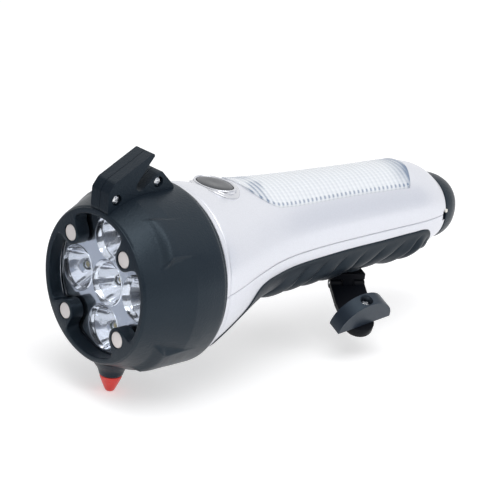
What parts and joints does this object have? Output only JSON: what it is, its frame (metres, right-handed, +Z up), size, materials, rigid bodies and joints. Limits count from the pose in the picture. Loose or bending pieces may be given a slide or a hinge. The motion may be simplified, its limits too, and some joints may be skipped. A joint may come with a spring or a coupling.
{
  "type": "hand crank flashlight",
  "caption": "Rescue torch with a lamp head, front magnets, belt cutter, window hammer, side area lamp, rubber grip and folding crank.",
  "frame": {"origin": "middle of the bounding box at its lowest level, straight under the torch", "axes": "+X runs from the lamp head to the tail along the handle, +Z up through the switch and the belt cutter"},
  "size_m": [0.2198, 0.082, 0.1102],
  "materials": {
    "black_plastic": "satin moulded ABS with a fine grain",
    "silver_plastic": "pearl silver lacquer on ABS",
    "grip_rubber": "soft-touch rubber, matt",
    "clear_plastic": "clear polycarbonate, polished",
    "mirror_coat": "vacuum metallised reflector",
    "bright_steel": "plated steel",
    "magnet_nickel": "nickel plated magnet, dulled",
    "red_plastic": "moulded plastic, semi-gloss",
    "board_green": "solder mask on laminate",
    "board_white": "white solder mask on laminate",
    "white_nylon": "natural nylon",
    "copper_metal": "bronze and copper winding",
    "cell_wrap": "plain shrink wrap"
  },
  "bodies": {
    "torch": {"bezel": "black_plastic", "magnet_1": "magnet_nickel", "magnet_2": "magnet_nickel", "magnet_3": "magnet_nickel", "magnet_4": "magnet_nickel", "front_lens": "clear_plastic", "reflector": "mirror_coat", "head_lamp_1": "clear_plastic", "head_lamp_2": "clear_plastic", "head_lamp_3": "clear_plastic", "head_lamp_4": "clear_plastic", "head_lamp_5": "clear_plastic", "lamp_board": "board_green", "lamp_ring": "white_nylon", "hammer_foot": "black_plastic", "hammer_point": "bright_steel", "hammer_cap": "red_plastic", "cutter_housing_left": "black_plastic", "cutter_housing_right": "black_plastic", "cutter_blade": "bright_steel", "cutter_screw_1": "bright_steel", "cutter_screw_2": "bright_steel", "upper_shell": "silver_plastic", "lower_shell": "silver_plastic", "rubber_grip": "grip_rubber", "area_lens": "clear_plastic", "button_collar": "silver_plastic", "power_switch": "black_plastic", "control_board": "board_green", "area_board": "board_white", "area_lamp_1": "clear_plastic", "area_lamp_2": "clear_plastic", "area_lamp_3": "clear_plastic", "area_lamp_4": "clear_plastic", "area_lamp_5": "clear_plastic", "area_lamp_6": "clear_plastic", "tail_cap": "black_plastic", "gear_frame": "white_nylon", "crank_bush": "copper_metal", "idler_pin": "bright_steel", "generator_can": "bright_steel", "battery_cell_1": "cell_wrap", "battery_cell_2": "cell_wrap", "battery_cell_3": "cell_wrap", "case_screw_1": "bright_steel", "case_screw_2": "bright_steel", "case_screw_3": "bright_steel", "case_screw_4": "bright_steel"},
    "button": {"power_button": "black_plastic"},
    "crank": {"crank_hub": "black_plastic", "hinge_pin": "bright_steel", "drive_gear": "white_nylon"},
    "arm": {"crank_arm": "black_plastic", "knob_screw": "bright_steel"},
    "knob": {"crank_knob": "black_plastic"},
    "idler": {"idler_gear": "white_nylon"},
    "rotor": {"generator_rotor": "copper_metal"}
  },
  "joints": [
    {"name": "crank_turn", "type": "hinge", "parent": "torch", "child": "crank", "pos_m": [0.04371, 0, 0.0308], "axis": [0, 0, 1], "continuous": true},
    {"name": "arm_fold", "type": "hinge", "parent": "crank", "child": "arm", "pos_m": [0.04046, -0.00641, 0.02729], "axis": [0.8918, -0.4524, 0], "range_deg": [0, 60]},
    {"name": "knob_swivel", "type": "hinge", "parent": "arm", "child": "knob", "pos_m": [0.03017, -0.02669, 0.0162], "axis": [-0.1983, -0.3909, 0.8988], "continuous": true},
    {"name": "idler_turn", "type": "hinge", "parent": "torch", "child": "idler", "pos_m": [0.02431, 0, 0.0521], "axis": [0, 0, 1], "continuous": true},
    {"name": "rotor_turn", "type": "hinge", "parent": "torch", "child": "rotor", "pos_m": [0.00731, 0, 0.0521], "axis": [0, 0, 1], "continuous": true},
    {"name": "button_press", "type": "slide", "parent": "torch", "child": "button", "axis": [0, 0, -1], "range_m": [0, 0.0012], "stiffness_N_per_m": 1500}
  ],
  "couplings": [
    {"joint": "idler_turn", "follows": "crank_turn", "ratio": -3},
    {"joint": "rotor_turn", "follows": "crank_turn", "ratio": 9.6}
  ]
}
